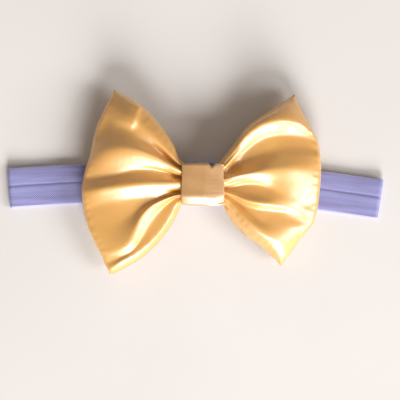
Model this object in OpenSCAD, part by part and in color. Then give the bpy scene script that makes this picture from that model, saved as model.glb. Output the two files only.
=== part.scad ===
// Satin bow on a soft elastic loop, lying flat with the bow facing up.
// +X runs along the loop, +Y across it, +Z up. The origin is under the middle of
// the whole bow, on the surface that the loop lies on. Millimetres.

/* [Elastic loop] */
// Length of the loop laid flat, half the length of the elastic round it
loop_len = 152; // [146:1:160]
// Width of the elastic
elastic_w = 16; // [14:0.5:17]
// Thickness of the elastic
elastic_t = 1.0; // [0.8:0.1:1.1]
// Clear gap inside the turn at each end of the loop
turn_gap = 1.0; // [0.6:0.1:1.4]
// How far the left end lies below the line through the knot
left_drop = 2.7; // [0:0.1:4]
// How far the right end lies below the line through the knot
right_drop = 7.2; // [0:0.1:8]

/* [Knot] */
// Middle of the knot along the loop
knot_x = 2.6; // [2:0.1:3]
// Middle of the knot across the loop
knot_y = -0.6; // [-1:0.1:0]
// Width of the centre wrap along the loop
wrap_w = 17.2; // [16:0.1:18]
// Length of the centre wrap's face across the loop
wrap_l = 17.2; // [16:0.1:18]
// Height of the centre wrap round the gathered waist
wrap_h = 11; // [10:0.5:12]
// Thickness of the folded wrap
wrap_t = 0.8; // [0.6:0.1:1]
// Rounding of the wrap's four long corners
wrap_round = 4; // [3:0.5:4.5]
// Diameter of the thread wound round the waist
thread_d = 0.6; // [0.4:0.1:0.7]
// Turns of that thread
thread_turns = 4; // [2:1:5]

/* [Back of the bow] */
// Length of the felt pad inside the loop
felt_l = 22; // [20:1:26]
// Width of the felt pad
felt_w = 14.5; // [12:0.5:15]
// Thickness of the felt pad
felt_t = 1.0; // [0.8:0.1:1.2]
// Thickness of the glue between the felt and the elastic
felt_glue_t = 0.2; // [0.1:0.1:0.3]
// Thickness of the glue between the elastic and the wrap
bow_glue_t = 0.6; // [0.5:0.1:0.8]
// Length of the lap where the ends of the elastic are joined
lap_len = 18; // [16:0.5:18.4]

/* [Wings] */
// Thickness of one satin panel with its backing
panel_t = 0.5; // [0.4:0.1:0.7]
// Height of the puffed front above the seam
front_puff = 12; // [9:0.5:13]
// Depth of the back below the seam
back_puff = 2.6; // [2:0.1:3]
// Height of the seam above the table along the outer edge
seam_z = 7; // [6.8:0.1:8]
// How far the seam droops at the outer corners
corner_droop = 2.8; // [0:0.1:3]
// Depth of the folds that run out from the knot
fold_depth = 1.6; // [0:0.1:2.2]
// Pitch of the seam stitches
stitch_pitch = 2.6; // [2:0.1:4]

/* [Left wing] */
// Upper corner, along the loop
left_top_x = -33; // [-36:0.5:-30]
// Upper corner, across the loop
left_top_y = 37.6; // [36:0.1:38]
// Lower corner, along the loop
left_low_x = -34.4; // [-37:0.1:-32]
// Lower corner, across the loop
left_low_y = -37.6; // [-38:0.1:-36]
// Bulge of the outer edge beyond the corners
left_bulge = 17; // [14:0.5:19]

/* [Right wing] */
// Upper corner, along the loop
right_top_x = 40; // [37:0.5:42]
// Upper corner, across the loop
right_top_y = 35.6; // [34:0.1:37]
// Lower corner, along the loop
right_low_x = 34.4; // [32:0.1:37]
// Lower corner, across the loop
right_low_y = -33.8; // [-36:0.1:-32]
// Bulge of the outer edge beyond the corners
right_bulge = 17.5; // [14:0.5:19]

/* [Hidden] */
$fn = 48;

satin = "#D9A25C";
satin_back = "#C98F4B";
elastic = "#C4C0DC";
thread = "#E2B679";
white_thread = "#EDEBF2";
felt = "#E9E6EE";
glue = "#E8DFC4";
wadding = "#F4F1EA";

clear = 0.3;                       // gap between neighbours on different bodies
touch = 0.1;                       // gap between soft neighbours on one body

// Heights, from the table up
back_top = elastic_t;
felt_z = back_top + clear;
lap_low_z = felt_z + felt_t + felt_glue_t;
lap_top_z = lap_low_z + 2 * elastic_t;
wrap_z = lap_top_z + bow_glue_t;
knot_mid_z = wrap_z + wrap_h / 2;

// The loop seen from above
centre_line_y = 0.2;               // the elastic's own middle at the knot
left_end_x = -loop_len / 2 + 0.3;  // tip of the middle line at each end
right_end_x = loop_len / 2 - 1.3;
left_bend = 2.2;                   // how late each half of the loop bends away
right_bend = 1.6;
turn_r_out = elastic_t + turn_gap / 2;
turn_r_in = turn_gap / 2;
rest_z = back_top + 0.9;           // middle of the front run where it lies low
arm_stations = 16;
rise_len = 14;                     // length over which an arm climbs to the knot
settle_len = 12;                   // length over which it settles from the turn
felt_round = 3;

// The knot's sides and the wing roots beside them
knot_left = knot_x - wrap_w / 2;
knot_right = knot_x + wrap_w / 2;
root_gap = 0.6;
root_half = wrap_l / 2 - 0.1;
neck_half = 0.9;                   // half height of a wing where it leaves the knot
neck_growth = 7;                   // distance over which it swells to full height

// Grid of a wing, along it and across it
cells_u = 14;
cells_s = 20;
folds = 3;
stitch_inset = 1.3;
stitch_size = 0.3;

// ---- small helpers ----
function smooth(t) = let (c = min(1, max(0, t))) c * c * (3 - 2 * c);
function mix(a, b, t) = a + (b - a) * t;
function bezier(p, t) =
    p[0] * pow(1 - t, 3) + 3 * p[1] * t * pow(1 - t, 2)
    + 3 * p[2] * t * t * (1 - t) + p[3] * pow(t, 3);
function crowded(i, n) = (1 - cos(180 * i / n)) / 2;
function unit(v) = v / norm(v);

// Rectangle with round corners, flat in plan
module rounded_box(l, w, r) {
    square([l, w - 2 * r], center = true);
    square([l - 2 * r, w], center = true);
    for (x = [-1, 1], y = [-1, 1])
        translate([x * (l / 2 - r), y * (w / 2 - r)]) circle(r);
}

// ---- the elastic loop ----
function drop_at(x) = x < knot_x
    ? left_drop * pow((knot_x - x) / (knot_x - left_end_x), left_bend)
    : right_drop * pow((x - knot_x) / (right_end_x - knot_x), right_bend);
function line_at(x) = [x, centre_line_y - drop_at(x)];
function along_at(x) = unit(line_at(x + 0.5) - line_at(x - 0.5));
function across_at(x) = let (a = along_at(x)) [-a[1], a[0]];
left_axis = line_at(left_end_x) + along_at(left_end_x) * turn_r_out;
right_axis = line_at(right_end_x) - along_at(right_end_x) * turn_r_out;

// Four corners of the elastic's cross-section at x, centred at height z
function section(x, z) = let (p = line_at(x), n = across_at(x) * elastic_w / 2) [
    [p[0] - n[0], p[1] - n[1], z - elastic_t / 2], [p[0] + n[0], p[1] + n[1], z - elastic_t / 2],
    [p[0] + n[0], p[1] + n[1], z + elastic_t / 2], [p[0] - n[0], p[1] - n[1], z + elastic_t / 2]
];

// A strip through the stations [x, z], listed from low x to high x
module strip(stations) {
    n = len(stations);
    polyhedron(
        points = [for (s = stations) each section(s[0], s[1])],
        faces = concat(
            [[0, 1, 2, 3]],
            [for (i = [0:n - 2], k = [0:3])
                [4 * i + k, 4 * i + 4 + k, 4 * i + 4 + (k + 1) % 4, 4 * i + (k + 1) % 4]],
            [[4 * n - 1, 4 * n - 2, 4 * n - 3, 4 * n - 4]]
        )
    );
}

module run_outline(x0, x1, n) {
    xs = [for (i = [0:n]) mix(x0, x1, i / n)];
    polygon(concat(
        [for (x = xs) line_at(x) - across_at(x) * elastic_w / 2],
        [for (i = [n:-1:0]) line_at(xs[i]) + across_at(xs[i]) * elastic_w / 2]
    ));
}

module elastic_back_run() {
    color(elastic)
        linear_extrude(elastic_t)
            run_outline(left_axis[0], right_axis[0], 24);
}

// Half ring that carries the elastic from the back run up to the front run
module turn(axis, side, x) {
    a = along_at(x);
    translate([axis[0], axis[1], turn_r_out])
        rotate([0, 0, atan2(a[1], a[0])])
            rotate([90, 0, 0])
                linear_extrude(elastic_w, center = true)
                    difference() {
                        circle(turn_r_out);
                        circle(turn_r_in);
                        translate([side < 0 ? 0 : -2 * turn_r_out, -2 * turn_r_out])
                            square([2 * turn_r_out, 4 * turn_r_out]);
                    }
}

module elastic_left_turn() {
    color(elastic) turn(left_axis, -1, left_axis[0]);
}

module elastic_right_turn() {
    color(elastic) turn(right_axis, 1, right_axis[0]);
}

// Middle height of a front arm that climbs to lap_z at the knot
function arm_z(from_knot, from_end, lap_z) =
    rest_z + (lap_z - rest_z) * (1 - smooth(from_knot / rise_len))
    + (turn_r_out + turn_r_in + elastic_t / 2 - rest_z) * (1 - smooth(from_end / settle_len));

module arm(x_knot, x_end, lap_z) {
    xs = [for (i = [0:arm_stations])
        mix(min(x_knot, x_end), max(x_knot, x_end), crowded(i, arm_stations))];
    strip([for (x = xs) [x, arm_z(abs(x - x_knot), abs(x - x_end), lap_z)]]);
}

module elastic_left_arm() {
    color(elastic)
        arm(knot_x - lap_len / 2 - clear, left_axis[0], lap_low_z + elastic_t / 2);
}

module elastic_right_arm() {
    color(elastic)
        arm(knot_x + lap_len / 2 + clear, right_axis[0], lap_low_z + 1.5 * elastic_t);
}

module lap(z) {
    translate([0, 0, z])
        linear_extrude(elastic_t)
            run_outline(knot_x - lap_len / 2, knot_x + lap_len / 2, 4);
}

module elastic_left_lap() {
    color(elastic) lap(lap_low_z);
}

module elastic_right_lap() {
    color(elastic) lap(lap_low_z + elastic_t);
}

// Two rows of zigzag stitches that hold the lap, just inside its ends
module lap_stitches() {
    legs = 8;
    leg_y = (elastic_w - 3) / legs;
    swing = 1.2;
    lean = atan2(swing, leg_y);
    color(white_thread)
        for (side = [-1, 1], i = [0:legs - 1])
            translate([
                knot_x + side * (lap_len / 2 - 1.4),
                centre_line_y - (legs - 1) * leg_y / 2 + i * leg_y,
                lap_top_z + stitch_size / 2
            ])
                rotate([0, 0, i % 2 == 0 ? lean : -lean])
                    cube([stitch_size, leg_y - 0.1, stitch_size], center = true);
}

// ---- back of the bow ----
module felt_pad() {
    color(felt)
        translate([knot_x, centre_line_y, felt_z])
            linear_extrude(felt_t)
                rounded_box(felt_l, felt_w, felt_round);
}

module felt_glue() {
    color(glue)
        for (side = [-1, 1])
            translate([knot_x + side * 5, centre_line_y, felt_z + felt_t])
                cylinder(h = felt_glue_t, r = 3.5);
}

module bow_glue() {
    color(glue)
        for (side = [-1, 1])
            translate([knot_x, knot_y + side * 4.2, lap_top_z])
                cylinder(h = bow_glue_t, r = 2.6);
}

// ---- the waist, its thread and the wrap ----
// Outline of the wrap, or of what it holds, seen along the loop
module waist_outline(inset) {
    rounded_box(wrap_h - 2 * inset, wrap_l - 2 * inset, wrap_round - inset);
}

// Stands an outline up at the knot and runs it along the loop
module along_knot(length) {
    translate([knot_x, knot_y, knot_mid_z])
        rotate([0, -90, 0])
            linear_extrude(length, center = true)
                children();
}

thread_room = thread_turns * (thread_d + touch) + touch;
waist_inset = wrap_t + touch;

// One half of the gathered waist, with a groove for the thread
module waist_half(side) {
    intersection() {
        union() {
            along_knot(thread_room) waist_outline(waist_inset + thread_d + touch);
            for (end = [-1, 1])
                translate([end * (wrap_w - 0.4 + thread_room) / 4, 0, 0])
                    along_knot((wrap_w - 0.4 - thread_room) / 2) waist_outline(waist_inset);
        }
        translate([knot_x, knot_y, knot_mid_z + side * (wrap_h / 4 + touch / 2)])
            cube([wrap_w, wrap_l, wrap_h / 2], center = true);
    }
}

module front_panel_waist() {
    color(satin) waist_half(1);
}

module back_panel_waist() {
    color(satin_back) waist_half(-1);
}

module gathering_thread() {
    color(thread)
        for (i = [0:thread_turns - 1])
            translate([(i - (thread_turns - 1) / 2) * (thread_d + touch), 0, 0])
                along_knot(thread_d)
                    difference() {
                        waist_outline(waist_inset + touch / 2);
                        waist_outline(waist_inset + thread_d + touch / 2);
                    }
}

module centre_wrap() {
    color(satin)
        along_knot(wrap_w)
            difference() {
                waist_outline(0);
                waist_outline(wrap_t);
            }
}

// Slip stitches along the wrap's closing edge, under the knot
module wrap_closing_stitches() {
    count = 5;
    color(thread)
        for (i = [0:count - 1])
            translate([knot_x + (i - (count - 1) / 2) * 2.2, knot_y, wrap_z - stitch_size / 2])
                cube([1.4, stitch_size, stitch_size], center = true);
}

// ---- the wings ----
// A wing is [root x, side, top edge, lower edge, outer edge], each edge a cubic curve
left_root = [knot_left - root_gap, knot_y];
right_root = [knot_right + root_gap, knot_y];
left_top = [left_top_x, left_top_y];
left_low = [left_low_x, left_low_y];
right_top = [right_top_x, right_top_y];
right_low = [right_low_x, right_low_y];

left_wing = [
    left_root[0], -1,
    [left_root + [0, root_half], [-9.5, 19], [-17, 30], left_top],
    [left_root - [0, root_half], [-9, -18], [-18, -31], left_low],
    [left_low, left_low + [-left_bulge, 24.6], left_top + [-left_bulge, -29.5], left_top]
];
right_wing = [
    right_root[0], 1,
    [right_root + [0, root_half], [15.5, 18], [25, 26.5], right_top],
    [right_root - [0, root_half], [14, -17], [23.5, -25], right_low],
    [right_low, right_low + [right_bulge, 18.8], right_top + [right_bulge, -22.6], right_top]
];

// Plan position inside a wing: u from root to outer edge, s from lower to top edge
function wing_xy(w, u, s) =
    mix(bezier(w[3], u), bezier(w[2], u), s)
    + mix(mix(w[3][0], w[2][0], s), bezier(w[4], s), u)
    - mix(mix(w[3][0], w[2][0], s), mix(w[3][3], w[2][3], s), u);

function from_root(w, u, s) = abs(wing_xy(w, u, s)[0] - w[0]);
function swell(d) = 1 - exp(-d / neck_growth);
function puff(u, s) = pow(1 - pow(abs(2 * s - 1), 2.4), 0.7) * pow(1 - pow(u, 6), 0.7);
function seam_at(w, u, s) = let (d = from_root(w, u, s))
    knot_mid_z + (seam_z - knot_mid_z) * smooth(d / 16)
    - corner_droop * pow(u, 4) * pow(abs(2 * s - 1), 4);
function fold_at(u, s) = fold_depth * cos(360 * folds * (s - 0.5)) * smooth(u * 4);
function front_at(w, u, s) = seam_at(w, u, s) + touch / 2 + panel_t
    + puff(u, s) * (neck_half * (1 - u) + front_puff * swell(from_root(w, u, s)) + fold_at(u, s));
function back_at(w, u, s) = seam_at(w, u, s) - touch / 2 - panel_t
    - puff(u, s) * back_puff * swell(from_root(w, u, s));

// Closed sheet between two height functions over part of the grid.
// face 1 is the front panel, face -1 the back panel and face 0 the filling.
function low_z(w, u, s, face) =
    face > 0 ? front_at(w, u, s) - panel_t
    : face < 0 ? back_at(w, u, s)
    : back_at(w, u, s) + panel_t + touch;
function high_z(w, u, s, face) =
    face > 0 ? front_at(w, u, s)
    : face < 0 ? back_at(w, u, s) + panel_t
    : front_at(w, u, s) - panel_t - touch;

module wing_sheet(w, face, i0, i1, j0, j1) {
    us = [for (i = [i0:i1]) crowded(i, cells_u)];
    ss = [for (j = [j0:j1]) crowded(j, cells_s)];
    nu = len(us);
    ns = len(ss);
    low = [for (u = us, s = ss) let (p = wing_xy(w, u, s)) [p[0], p[1], low_z(w, u, s, face)]];
    high = [for (u = us, s = ss) let (p = wing_xy(w, u, s)) [p[0], p[1], high_z(w, u, s, face)]];
    half = nu * ns;
    rim = concat(
        [for (i = [0:nu - 2]) i * ns],
        [for (j = [0:ns - 2]) (nu - 1) * ns + j],
        [for (i = [nu - 1:-1:1]) i * ns + ns - 1],
        [for (j = [ns - 1:-1:1]) j]
    );
    count = len(rim);
    top = [for (i = [0:nu - 2], j = [0:ns - 2], k = [0, 1])
        let (a = i * ns + j, b = a + ns)
            k == 0 ? [a, b, b + 1] : [a, b + 1, a + 1]];
    side = [for (k = [0:count - 1], t = [0, 1])
        let (a = rim[k], b = rim[(k + 1) % count])
            t == 0 ? [a, b, b + half] : [a, b + half, a + half]];
    outward = concat(
        [for (f = top) [f[2] + half, f[1] + half, f[0] + half]],
        top,
        [for (f = side) [f[2], f[1], f[0]]]
    );
    polyhedron(
        points = concat(low, high),
        faces = w[1] > 0 ? outward : [for (f = outward) [f[2], f[1], f[0]]]
    );
}

module front_panel(w) {
    color(satin) wing_sheet(w, 1, 0, cells_u, 0, cells_s);
}

module back_panel(w) {
    color(satin_back) wing_sheet(w, -1, 0, cells_u, 0, cells_s);
}

module filling(w) {
    color(wadding) wing_sheet(w, 0, 3, cells_u - 2, 3, cells_s - 3);
}

// One stitch lying between the panels, just inside the edge point p
module seam_stitch(p, q, inward, z) {
    t = unit(q - p);
    n = [-t[1], t[0]] * inward;
    at = p + n * stitch_inset;
    translate([at[0], at[1], z])
        rotate([0, 0, atan2(t[1], t[0])])
            cube([stitch_pitch * 0.7, stitch_size, stitch_size], center = true);
}

module seam_stitches(w) {
    first = 0.3;
    last = 0.93;
    side_len = norm(w[2][3] - w[2][0]) * (last - first);
    side_count = floor(side_len / stitch_pitch);
    outer_count = floor(norm(w[4][3] - w[4][0]) * 1.05 / stitch_pitch);
    color(thread) {
        for (i = [0:side_count], e = [2, 3]) {
            u = mix(first, last, i / side_count);
            inward = (e == 2 ? -1 : 1) * w[1];
            z = seam_at(w, u, e == 2 ? 0.98 : 0.02);
            seam_stitch(bezier(w[e], u), bezier(w[e], u + 0.01), inward, z);
        }
        for (i = [1:outer_count - 1]) {
            s = mix(0.05, 0.95, i / outer_count);
            z = seam_at(w, 0.98, s);
            seam_stitch(bezier(w[4], s), bezier(w[4], s + 0.01), w[1], z);
        }
    }
}

module left_front_panel() { front_panel(left_wing); }
module left_back_panel() { back_panel(left_wing); }
module left_wadding() { filling(left_wing); }
module left_seam_stitches() { seam_stitches(left_wing); }
module right_front_panel() { front_panel(right_wing); }
module right_back_panel() { back_panel(right_wing); }
module right_wadding() { filling(right_wing); }
module right_seam_stitches() { seam_stitches(right_wing); }

elastic_back_run();
elastic_left_turn();
elastic_right_turn();
elastic_left_arm();
elastic_right_arm();
elastic_left_lap();
elastic_right_lap();
lap_stitches();
felt_pad();
felt_glue();
bow_glue();
front_panel_waist();
back_panel_waist();
gathering_thread();
centre_wrap();
wrap_closing_stitches();
left_front_panel();
left_back_panel();
left_wadding();
left_seam_stitches();
right_front_panel();
right_back_panel();
right_wadding();
right_seam_stitches();
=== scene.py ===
"""Satin bow on a loop of soft elastic: the looks of every piece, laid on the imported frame.

Lengths are in millimetres, and MM turns them into metres. Lamps and bumps are in metres.
"""
import math

import bmesh
import bpy
import numpy as np
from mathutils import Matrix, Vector


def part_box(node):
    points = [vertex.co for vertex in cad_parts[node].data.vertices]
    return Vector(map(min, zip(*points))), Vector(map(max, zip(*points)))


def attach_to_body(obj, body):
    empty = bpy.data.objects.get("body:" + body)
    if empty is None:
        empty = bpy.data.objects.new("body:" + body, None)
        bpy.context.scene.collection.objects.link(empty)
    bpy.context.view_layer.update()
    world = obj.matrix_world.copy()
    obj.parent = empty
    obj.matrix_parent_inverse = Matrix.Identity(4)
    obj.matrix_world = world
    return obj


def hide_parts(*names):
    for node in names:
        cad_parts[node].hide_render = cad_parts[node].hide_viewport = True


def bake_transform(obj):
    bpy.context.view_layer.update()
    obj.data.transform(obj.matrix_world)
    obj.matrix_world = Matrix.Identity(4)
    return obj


MM = 0.001
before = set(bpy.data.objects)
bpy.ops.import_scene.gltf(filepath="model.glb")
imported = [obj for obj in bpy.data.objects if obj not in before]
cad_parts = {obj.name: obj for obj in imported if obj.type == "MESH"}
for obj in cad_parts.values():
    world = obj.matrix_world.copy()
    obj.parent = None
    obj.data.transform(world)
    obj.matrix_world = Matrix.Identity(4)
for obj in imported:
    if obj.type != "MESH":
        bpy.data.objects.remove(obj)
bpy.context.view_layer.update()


# ---- places taken from the frame ----
def node_box(node):
    """Lowest and highest corner of a CAD node, in millimetres."""
    low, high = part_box(node)
    return np.array(low) / MM, np.array(high) / MM


WRAP_LOW, WRAP_HIGH = node_box("centre_wrap")
KNOT = (WRAP_LOW + WRAP_HIGH) / 2
WRAP_SIZE = WRAP_HIGH - WRAP_LOW
BACK_LOW, BACK_HIGH = node_box("elastic_back_run")
LAP_LOW, LAP_HIGH = node_box("elastic_left_lap")
LAP_TOP = node_box("elastic_right_lap")[1][2]
LAP = LAP_HIGH[0] - LAP_LOW[0]
TURN_TOP = node_box("elastic_left_turn")[1][2]
ELASTIC_T = BACK_HIGH[2] - BACK_LOW[2]
ELASTIC_W = 16.0


# ---- camera, floor and lights ----
PLAN_CENTRE = (1.7, -7.2)  # what the camera looks straight down at
PLAN_SPAN = 162.0  # width of the view on the table
CAMERA_HEIGHT = 620.0
SENSOR = 36.0
LAMP_DISTANCE_M = 2.4
LAMP_SIZE_M = 1.1
FLOOR_HALF = 2000.0


def make_camera():
    data = bpy.data.cameras.new("camera")
    data.sensor_width = SENSOR
    data.lens = SENSOR * CAMERA_HEIGHT / PLAN_SPAN
    data.dof.use_dof = False
    camera = bpy.data.objects.new("camera", data)
    camera.location = (PLAN_CENTRE[0] * MM, PLAN_CENTRE[1] * MM, CAMERA_HEIGHT * MM)
    bpy.context.collection.objects.link(camera)
    bpy.context.scene.camera = camera


def area_light(name, azimuth, elevation, power, colour):
    """A soft square lamp aimed at the origin. Azimuth is counted from +X towards +Y."""
    data = bpy.data.lights.new(name, "AREA")
    data.size = LAMP_SIZE_M
    data.energy = power
    data.color = colour
    lamp = bpy.data.objects.new(name, data)
    a, e = math.radians(azimuth), math.radians(elevation)
    out = Vector((math.cos(a) * math.cos(e), math.sin(a) * math.cos(e), math.sin(e)))
    lamp.location = out * LAMP_DISTANCE_M
    lamp.rotation_mode = "QUATERNION"
    lamp.rotation_quaternion = (-out).to_track_quat("-Z", "Y")
    bpy.context.collection.objects.link(lamp)


def make_lights():
    area_light("key", azimuth=-78, elevation=27, power=76.0, colour=(1.0, 0.97, 0.92))
    area_light("side", azimuth=-24, elevation=30, power=36.0, colour=(1.0, 0.97, 0.93))
    world = bpy.data.worlds.new("studio")
    world.use_nodes = True
    background = world.node_tree.nodes["Background"]
    background.inputs["Color"].default_value = (1.0, 0.84, 0.70, 1)
    background.inputs["Strength"].default_value = 0.30
    bpy.context.scene.world = world
    bpy.context.scene.view_settings.view_transform = "Standard"


def make_floor():
    reach = FLOOR_HALF
    corners = [(-reach, -reach, 0), (reach, -reach, 0), (reach, reach, 0), (-reach, reach, 0)]
    floor = link_mesh("studio_floor", corners, [(0, 1, 2, 3)], floor_material(), smooth=False)


# ---- node materials ----
# Tones run from deep to pale.
BOW_GOLD = ((0.77, 0.385, 0.078), (0.83, 0.435, 0.094), (0.88, 0.49, 0.115))
# The wrap's tones are the bow's gold darkened by about a third: painted shade on its flat face.
WRAP_SHADED_GOLD = ((0.50, 0.25, 0.065), (0.55, 0.285, 0.08), (0.60, 0.325, 0.095))
BACK_GOLD = ((0.74, 0.37, 0.075), (0.80, 0.42, 0.09), (0.85, 0.47, 0.11))
ELASTIC_BLUE = ((0.20, 0.18, 0.40), (0.28, 0.29, 0.60), (0.42, 0.46, 0.88))
PICOT_BLUE = (0.52, 0.53, 0.80, 1)
PICOT_FROM = 0.47  # where the picot edge begins, as a part of the elastic's width
GOLD_THREAD = ((0.55, 0.32, 0.10), (0.80, 0.56, 0.24))
WHITE_THREAD = ((0.70, 0.70, 0.76), (0.92, 0.92, 0.95))
FELT_TONES = ((0.62, 0.60, 0.66), (0.88, 0.87, 0.91))
WADDING_TONES = ((0.74, 0.73, 0.70), (0.94, 0.93, 0.90))
GLUE_TONES = ((0.70, 0.60, 0.42), (0.86, 0.80, 0.66))
FLOOR_TONES = ((0.74, 0.74, 0.76), (0.78, 0.78, 0.80))


class Shader:
    """A node material with its Principled shader, and short calls for what feeds it."""

    def __init__(self, name, roughness, sheen=0.0, specular=0.5):
        self.material = bpy.data.materials.new(name)
        self.material.use_nodes = True
        self.tree = self.material.node_tree
        self.principled = self.tree.nodes["Principled BSDF"]
        self.set("Roughness", roughness)
        self.set("Sheen Weight", sheen)
        self.set("Specular IOR Level", specular)

    def set(self, socket, value):
        """Sets an input of the Principled shader to a value, or links another node's output to it."""
        self.feed(self.principled.inputs[socket], value)

    def feed(self, socket, value):
        if isinstance(value, bpy.types.NodeSocket):
            self.tree.links.new(value, socket)
        else:
            socket.default_value = value

    def node(self, kind, **inputs):
        """A new node. Each input is a value or another node's output."""
        made = self.tree.nodes.new(kind)
        for name, value in inputs.items():
            self.feed(made.inputs[name.replace("_", " ")], value)
        return made

    def coordinates(self, scale=(1, 1, 1), turn=0.0, uv=True):
        source = self.node("ShaderNodeTexCoord").outputs["UV" if uv else "Object"]
        rotation = (0, 0, math.radians(turn))
        made = self.node("ShaderNodeMapping", Vector=source, Scale=scale, Rotation=rotation)
        return made.outputs["Vector"]

    def noise(self, where, scale, detail=3.0, roughness=0.5):
        settings = {"Scale": scale, "Detail": detail, "Roughness": roughness}
        return self.node("ShaderNodeTexNoise", Vector=where, **settings).outputs["Fac"]

    def waves(self, where, scale, distortion=0.0):
        made = self.node("ShaderNodeTexWave", Vector=where, Scale=scale, Distortion=distortion)
        return made.outputs["Fac"]

    def maths(self, operation, a, b):
        made = self.node("ShaderNodeMath")
        made.operation = operation
        self.feed(made.inputs[0], a)
        self.feed(made.inputs[1], b)
        return made.outputs["Value"]

    def weigh(self, a, share_a, b, share_b):
        """Sum of two values, each times its share."""
        return self.maths("ADD", self.maths("MULTIPLY", a, share_a), self.maths("MULTIPLY", b, share_b))

    def ramp(self, factor, places, tones):
        """Colour ramp with each tone at its place."""
        ramp = self.node("ShaderNodeValToRGB", Fac=factor)
        elements = ramp.color_ramp.elements
        while len(elements) < len(tones):
            elements.new(0.5)
        for element, place, tone in zip(elements, places, tones):
            element.position = place
            element.color = (*tone, 1)
        return ramp.outputs["Color"]

    def mix(self, factor, a, b):
        """Colour a where factor is 0 and colour b where it is 1."""
        mixer = self.node("ShaderNodeMix")
        mixer.data_type = "RGBA"
        for number, value in ((0, factor), (6, a), (7, b)):
            self.feed(mixer.inputs[number], value)
        return mixer.outputs[2]

    def bump(self, height, distance, strength):
        """Adds a bump of the given height in metres, over any bump already there."""
        bump = self.node("ShaderNodeBump", Height=height, Strength=strength, Distance=distance)
        for under in self.principled.inputs["Normal"].links:
            self.feed(bump.inputs["Normal"], under.from_socket)
        self.set("Normal", bump.outputs["Normal"])

    def roughness(self, factor, low, high):
        span = self.node("ShaderNodeMapRange", Value=factor, To_Min=low, To_Max=high)
        self.set("Roughness", span.outputs["Result"])


def satin_material(name, tones, sheen):
    """Warp-faced satin: long floats that make a soft streaked sheen, and a faint twill line."""
    s = Shader(name, 0.5, sheen=sheen, specular=1.0)
    s.set("IOR", 1.95)
    s.set("Anisotropic", 0.4)
    s.set("Sheen Roughness", 0.35)
    s.set("Sheen Tint", (1.0, 0.88, 0.62, 1))
    tangent = s.node("ShaderNodeTangent")
    tangent.direction_type = "UV_MAP"
    tangent.uv_map = "cloth"
    s.set("Tangent", tangent.outputs["Tangent"])
    floats = s.noise(s.coordinates(scale=(1, 9, 1)), 420, detail=2)
    cloud = s.noise(s.coordinates(), 55)
    s.set("Base Color", s.ramp(s.weigh(floats, 0.35, cloud, 0.65), (0.30, 0.52, 0.74), tones))
    s.roughness(floats, 0.33, 0.46)
    twill = s.waves(s.coordinates(turn=28), 820, distortion=0.6)
    s.bump(twill, 0.000012, 0.35)
    s.bump(floats, 0.00004, 0.30)
    return s.material


def elastic_material():
    """Knitted elastic: a fine slanting knit, streaks along it and paler picot edges."""
    s = Shader("elastic_knit", 0.5, sheen=0.35, specular=0.45)
    s.set("Sheen Roughness", 0.45)
    s.set("Sheen Tint", (0.86, 0.88, 1.0, 1))
    right = s.waves(s.coordinates(turn=42), 520)
    left = s.waves(s.coordinates(turn=-42), 520)
    knit = s.maths("MULTIPLY", right, left)
    cloud = s.noise(s.coordinates(scale=(0.3, 4, 1)), 90)
    body = s.ramp(s.weigh(knit, 0.4, cloud, 0.7), (0.25, 0.45, 0.68), ELASTIC_BLUE)
    across = s.node("ShaderNodeSeparateXYZ", Vector=s.coordinates())
    from_middle = s.maths("ABSOLUTE", across.outputs["Y"], 0.0)
    picot = s.maths("GREATER_THAN", from_middle, PICOT_FROM * ELASTIC_W * MM)
    s.set("Base Color", s.mix(picot, body, PICOT_BLUE))
    s.roughness(knit, 0.60, 0.42)
    s.bump(knit, 0.00014, 0.5)
    return s.material


def thread_material(name, tones):
    """Twisted sewing thread."""
    s = Shader(name, 0.5, sheen=0.3)
    twist = s.waves(s.coordinates(turn=35), 900)
    s.set("Base Color", s.ramp(twist, (0.2, 0.8), tones))
    s.bump(twist, 0.00003, 0.6)
    return s.material


def felt_material():
    """Pressed felt: short matted fibres with no direction."""
    s = Shader("felt_fibre", 0.95, sheen=0.6, specular=0.2)
    where = s.coordinates(uv=False)
    fibre = s.noise(where, 2600, detail=6, roughness=0.7)
    cloud = s.noise(where, 240)
    s.set("Base Color", s.ramp(s.weigh(fibre, 0.6, cloud, 0.4), (0.3, 0.7), FELT_TONES))
    s.bump(fibre, 0.0002, 0.6)
    return s.material


def wadding_material():
    """Loose polyester wadding."""
    s = Shader("wadding_fibre", 0.9, sheen=0.5, specular=0.2)
    fibre = s.noise(s.coordinates(uv=False), 900, detail=7, roughness=0.75)
    s.set("Base Color", s.ramp(fibre, (0.3, 0.7), WADDING_TONES))
    s.bump(fibre, 0.0006, 0.7)
    return s.material


def glue_material():
    """Set hot glue: cloudy amber, a little translucent."""
    s = Shader("set_glue", 0.22, specular=0.6)
    s.set("Subsurface Weight", 0.25)
    s.set("Subsurface Radius", (0.002, 0.0015, 0.001))
    cloud = s.noise(s.coordinates(uv=False), 600, detail=4)
    s.set("Base Color", s.ramp(cloud, (0.3, 0.7), GLUE_TONES))
    s.bump(cloud, 0.0002, 0.3)
    return s.material


def floor_material():
    """Plain pale studio floor."""
    s = Shader("studio_floor", 1.0, specular=0.0)
    cloud = s.noise(s.coordinates(uv=False), 9, detail=2)
    s.set("Base Color", s.ramp(cloud, (0.3, 0.7), FLOOR_TONES))
    return s.material


# ---- curves and meshes ----
def smoothstep(x):
    x = np.clip(x, 0, 1)
    return x * x * (3 - 2 * x)


def dome(x):
    """Quarter of a circle: steep at 0, level from 1 on."""
    return np.sqrt(1 - (1 - np.clip(x, 0, 1)) ** 2)


def unit(vectors):
    """Each vector at length 1."""
    return vectors / np.linalg.norm(vectors, axis=-1, keepdims=True)


def join(*coordinates):
    """Points from their coordinates, which broadcast together."""
    return np.stack(np.broadcast_arrays(*coordinates), axis=-1)


def arc(x, y, radius, start, end, count):
    """Points round part of a circle."""
    angle = np.linspace(start, end, count)
    return join(x + radius * np.cos(angle), y + radius * np.sin(angle))


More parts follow.
